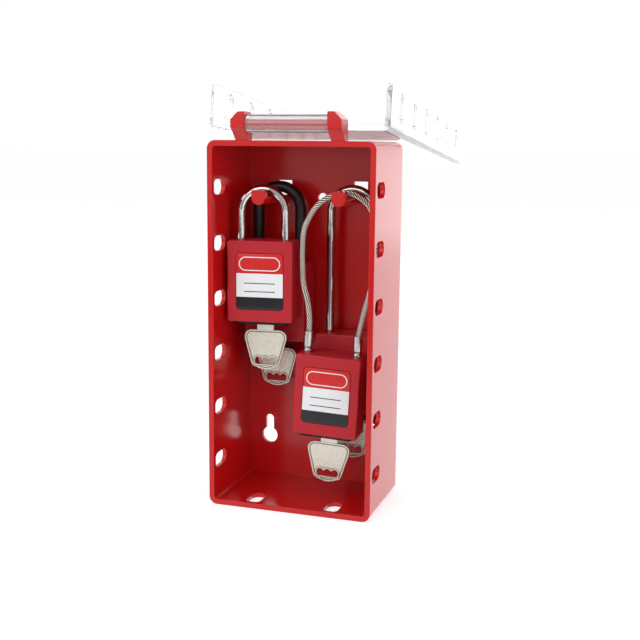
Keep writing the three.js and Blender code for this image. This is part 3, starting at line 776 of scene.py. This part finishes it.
def bend_shackle(lock):
    """A rod swept up the heel leg, round the crown and down the toe leg."""
    diameter, span = padlocks[lock]["leg"], padlocks[lock]["span"]
    low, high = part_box(f"{lock}_shackle")
    low_body, high_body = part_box(f"{lock}_body")
    spring = high.z - (low_body.z + high_body.z) / 2 - diameter / 2 - span / 2
    bpy.ops.object.select_all(action="DESELECT")
    bpy.ops.mesh.primitive_circle_add(vertices=rod_sides, radius=diameter / 2, fill_type="NOTHING",
                                      location=(-span / 2, 0, body_top - heel_depth))
    rod = bpy.context.object
    bpy.ops.object.transform_apply(location=True, rotation=True, scale=True)
    edit_whole(rod)
    bpy.ops.mesh.extrude_region_move(
        TRANSFORM_OT_translate={"value": (0, 0, spring - body_top + heel_depth)})
    bpy.ops.mesh.spin(steps=crown_steps, angle=-math.pi, center=(0, 0, spring), axis=(0, 1, 0))
    bpy.ops.mesh.extrude_region_move(
        TRANSFORM_OT_translate={"value": (0, 0, body_top - toe_depth - spring)})
    bpy.ops.mesh.select_all(action="SELECT")
    bpy.ops.mesh.remove_doubles(threshold=same_place)
    bpy.ops.mesh.select_all(action="DESELECT")
    bpy.ops.mesh.select_non_manifold()
    bpy.ops.mesh.edge_face_add()
    bpy.ops.mesh.select_all(action="SELECT")
    bpy.ops.mesh.normals_make_consistent(inside=False)
    bpy.ops.object.mode_set(mode="OBJECT")
    return hang(soften(rod, rod_edge, 3), lock)


chrome = finish("bright_chrome", tint(192, 191, 189), 0.07, spread=0.03, tone=0.02, patch=80,
                grain=700, bump=0.02, Metallic=1.0)
black_nylon = finish("black_nylon", tint(17, 17, 19), 0.38, spread=0.06, tone=0.15, patch=60,
                     grain=900, bump=0.10)
for lock, substance, slot, look in (
    ("front_left", "steel", "chrome_shackle", chrome),
    ("rear_right", "steel", "chrome_shackle", chrome),
    ("rear_left", "nylon", "black_plastic", black_nylon),
):
    settle(bend_shackle(lock), f"{lock}_{substance}_shackle", f"{lock}_lifting_shackle", slot, look,
           f"{lock}_shackle")


# Steel cable: the front right padlock hangs from a loop of wire rope, six outer wires laid round
# a core painted near black as the shade in the gaps between the wires. Each end is crimped into an
# aluminium ferrule that is pressed into the body.
cable_round = 3.5 * mm
cable_lay = 14 * mm
outer_wires = 6
wire_fill = 0.66            # of a closed ring's wire, so that the core's painted shade shows in the gaps between the wires
wire_sides = 8
core_sides = 12
core_cuts = 120
core_sink = 1.7             # wires that the core is thinner than the rope
steps_per_turn = 14
ferrule_top = body_top + 12.5 * mm
ferrule_edge = 0.2 * mm
cable_foot = ferrule_top - 8 * mm
roll_foot = body_top + 1.6 * mm
roll_top = roll_foot + 1.2 * mm
roll_depth = 0.35 * mm
# The rope's middle line above the body, across and up from the body's middle, in millimetres
route = [(-15.5, 44.6), (-17.2, 54.6), (-20.5, 66.1), (-21.8, 77.4), (-22.3, 86.4), (-21.7, 98.7),
         (-18.8, 105.9), (-15, 112.2), (-7.7, 118.2), (-3.2, 120.1), (2.1, 121.3), (5.8, 121.2),
         (11, 119.1), (15.4, 115.9), (18.1, 112.5), (21.5, 97.4), (22.2, 82.5), (20.3, 62.7),
         (18, 52.4), (16.4, 43.6)]
points = [(-ferrule_span / 2, 0, cable_foot), (-ferrule_span / 2, 0, ferrule_top)]
points += [(x * mm, 0, z * mm) for x, z in route]
points += [(ferrule_span / 2, 0, ferrule_top), (ferrule_span / 2, 0, cable_foot)]

bpy.ops.object.select_all(action="DESELECT")
bpy.ops.curve.primitive_bezier_curve_add()
loop = bpy.context.object
loop.name = "cable_route"
spline = loop.data.splines[0]
spline.bezier_points.add(len(points) - 2)
for knot, point in zip(spline.bezier_points, points):
    knot.co = point
    knot.handle_left_type = knot.handle_right_type = "AUTO"
loop.data.resolution_u = 16
loop.data.twist_mode = "MINIMUM"
bpy.context.view_layer.update()
length = spline.calc_length()

wire_round = wire_fill * cable_round / (1 + 1 / math.sin(math.pi / outer_wires))
wire_ring = (cable_round - wire_round) / 2
turns = length / cable_lay
steps = round(turns * steps_per_turn)
slant = math.atan2(2 * math.pi * wire_ring, cable_lay)
bpy.ops.object.select_all(action="DESELECT")
bpy.ops.mesh.primitive_circle_add(vertices=wire_sides, radius=wire_round / 2, fill_type="NOTHING",
                                  location=(wire_ring, 0, 0), rotation=(-slant, 0, 0))
wire = bpy.context.object
bpy.ops.object.transform_apply(location=True, rotation=True, scale=True)
apply_modifier(wire, "SCREW", axis="Z", angle=2 * math.pi * turns, screw_offset=length, steps=steps,
               render_steps=steps, use_merge_vertices=False)
strands = [wire]
for i in range(1, outer_wires):
    strands.append(place_for_good(copy_of(wire), turn=(0, 0, 2 * math.pi * i / outer_wires)))
core = round_bar("cable_core", "z", cable_round - core_sink * wire_round, 0, length, sides=core_sides)
edit_edges(core, runs_along("z"))
bpy.ops.mesh.subdivide(number_cuts=core_cuts)
bpy.ops.object.mode_set(mode="OBJECT")
core_faces = len(core.data.polygons)
cable = gather([*strands, core])
edit_whole(cable)
bpy.ops.mesh.normals_make_consistent(inside=False)
bpy.ops.object.mode_set(mode="OBJECT")
bpy.ops.object.shade_smooth_by_angle(angle=math.radians(70))
apply_modifier(cable, "CURVE", object=loop, deform_axis="POS_Z")
bpy.data.objects.remove(loop, do_unlink=True)
wire_steel = finish("drawn_steel_wire", tint(214, 210, 202), 0.22, spread=0.08, tone=0.08, patch=300,
                    grain=2500, bump=0.05, Metallic=1.0)
# The core's near black colour is painted shade, the dark that falls between the wires
core_painted_shade = finish("rope_core_painted_shade", tint(30, 27, 25), 0.6, tone=0.2, patch=300, grain=1500, bump=0.1)
settle(hang(cable, "front_right"), "front_right_wire_rope", "front_right_padlock", "steel_cable",
       wire_steel, "front_right_cable")
# The core's faces take the painted shade
cable.data.materials.append(core_painted_shade)
for face in cable.data.polygons[-core_faces:]:
    face.material_index = 1

aluminium = finish("pressed_aluminium", tint(196, 193, 194), 0.26, spread=0.07, tone=0.03, patch=150,
                   grain=1400, bump=0.08, stretch=(1, 1, 0.2), Metallic=1.0)
for side, where in ((-1, "left"), (1, "right")):
    x = side * ferrule_span / 2
    ferrule = round_bar("ferrule", "z", ferrule_round, body_top - ferrule_depth, ferrule_top, x)
    score(ferrule, roll_foot - roll_depth, roll_foot, roll_top, roll_top + roll_depth)
    edit_edges(ferrule, lies_at("z", roll_foot, roll_top))
    shrink = 1 - 2 * roll_depth / ferrule_round
    bpy.ops.transform.resize(value=(shrink, shrink, 1), center_override=(x, 0, 0))
    bpy.ops.object.mode_set(mode="OBJECT")
    cut(ferrule, round_bar("ferrule_bore", "z", cable_round + 2 * bore_clearance,
                           cable_foot - bore_clearance, ferrule_top + over, x))
    soften(ferrule, ferrule_edge)
    settle(hang(ferrule, "front_right"), f"front_right_{where}_ferrule", "front_right_padlock", "ferrule",
           aluminium, f"front_right_ferrule_{where}")


# Keys: stamped from nickel-plated sheet, with a coined rim that stands round the bow and its finger
# slot. The blade fills the plug's keyway, and a short neck joins it to the bow.
key_top = plug_face - bore_clearance
key_edge = 0.1 * mm
half_key = key_thickness / 2
neck_width = 10.4 * mm
neck_length = 4.1 * mm
neck_inset = 0.25 * mm
blade_inset = 0.1 * mm
blade_chamfer = 1.2 * mm
blade_start = 1.2 * mm
bow_height = 24.6 * mm
bow_top_half = 14.57 * mm
bow_foot_half = 8.28 * mm
bow_shoulder = 6.3 * mm
bow_foot_corner = 2.3 * mm
bow_sag = 1.6 * mm
bow_top = key_top - neck_length
bow_foot = bow_top - bow_height
bow_foot_line = bow_foot + bow_sag
rim_width = 0.75 * mm
coined_depth = 0.22 * mm
groove_depth = 0.42 * mm
groove_slope = 0.30 * mm
field_slope = 0.45 * mm
groove_floor = half_key - groove_depth
finger_half = 6.9 * mm
finger_foot = bow_foot + 3.2 * mm
finger_height = 3.5 * mm
finger_corner = 1.7 * mm
lobe_round = 4.3 * mm
lobe_rise = 2.55 * mm
lobe_spacing = 4.7 * mm


def finger_slot(name, margin, front, back):
    """The slot's outline, with a margin all round: a rounded bar with three lobes on top."""
    solid = rounded_block(name, (-finger_half - margin, front, finger_foot - margin),
                          (finger_half + margin, back, finger_foot + finger_height + margin),
                          "y", finger_corner + margin, 8)
    for x in (-lobe_spacing, 0, lobe_spacing):
        weld(solid, round_bar("lobe", "y", lobe_round + 2 * margin, front, back, x,
                              finger_foot + lobe_rise))
    return solid


bow = block("bow", (-bow_top_half, -half_key, bow_foot_line), (bow_top_half, half_key, bow_top))
edit_edges(bow, both(runs_along("x"), lies_at("z", bow_foot_line)))
bpy.ops.transform.resize(value=(bow_foot_half / bow_top_half, 1, 1))
bpy.ops.object.mode_set(mode="OBJECT")
round_edges(bow, both(runs_along("y"), lies_at("z", bow_top)), bow_shoulder, 8)
round_edges(bow, both(runs_along("y"), lies_at("z", bow_foot_line)), bow_foot_corner, 6)
edit_edges(bow, both(runs_along("x"), lies_at("z", bow_foot_line)))
bpy.ops.mesh.subdivide(number_cuts=11)
bpy.ops.object.mode_set(mode="OBJECT")
foot = [v.co for v in bow.data.vertices if abs(v.co.z - bow_foot - bow_sag) < same_place]
foot_half = max(co.x for co in foot)
for co in foot:
    co.z -= bow_sag * (1 - (co.x / foot_half) ** 2)

for side in (-1, 1):
    activate(bow)
    bpy.ops.object.mode_set(mode="EDIT")
    bpy.ops.mesh.select_mode(type="FACE")
    bpy.ops.mesh.select_all(action="DESELECT")
    shape = bmesh.from_edit_mesh(bow.data)
    for face in shape.faces:
        face.select_set(face.normal.y * side > 0.9)
    bmesh.update_edit_mesh(bow.data)
    for width, depth in ((rim_width, 0), (groove_slope, -groove_depth),
                         (field_slope, groove_depth - coined_depth)):
        bpy.ops.mesh.inset(thickness=width, depth=depth, use_even_offset=True)
    bpy.ops.object.mode_set(mode="OBJECT")

for front, back in ((-over, -groove_floor), (groove_floor, over)):
    cut(bow, finger_slot("groove", rim_width + groove_slope, front, back))
weld(bow, finger_slot("slot_rim", rim_width, -half_key, half_key))
cut(bow, finger_slot("slot", 0, -over, over))

blade = rounded_block("blade", (-blade_width / 2, -half_key + blade_inset, bow_top + blade_start),
                      (blade_width / 2, half_key - blade_inset, plug_face + blade_reach),
                      "y", blade_chamfer, 1)
neck = block("neck", (-neck_width / 2, -half_key + neck_inset, bow_top - rim_width / 2),
             (neck_width / 2, half_key - neck_inset, key_top))
weld(bow, weld(blade, neck))
soften(bow, key_edge, sharpest=60, cut_up=True)
margin = 0.02 * mm
in_groove = [face.index for face in bow.data.polygons
             if face.center.z < bow_top - rim_width and abs(face.normal.y) > 0.3
             and groove_floor - margin < abs(face.center.y) < half_key - coined_depth - margin]
place_for_good(bow, (plug_offset, 0, 0))
key_metal = finish("nickel_plated_key", tint(202, 199, 187), 0.34, spread=0.12, tone=0.14, patch=420,
                   grain=1000, bump=0.45, Metallic=0.85)
# The groove is duller, and its darker colour is painted shade in the recess
groove_painted_shade = finish("dull_key_groove_painted_shade", tint(128, 122, 108), 0.45, tone=0.15, patch=420, grain=1000,
                    bump=0.3, Metallic=0.8)
for lock in padlocks:
    key = hang(copy_of(bow), lock)
    settle(key, f"{lock}_bow_key", f"{lock}_turning_key", "key_metal", key_metal, f"{lock}_key")
    # The groove's faces take the duller finish and the painted shade
    key.data.materials.append(groove_painted_shade)
    for i in in_groove:
        key.data.polygons[i].material_index = 1
bpy.data.objects.remove(bow, do_unlink=True)
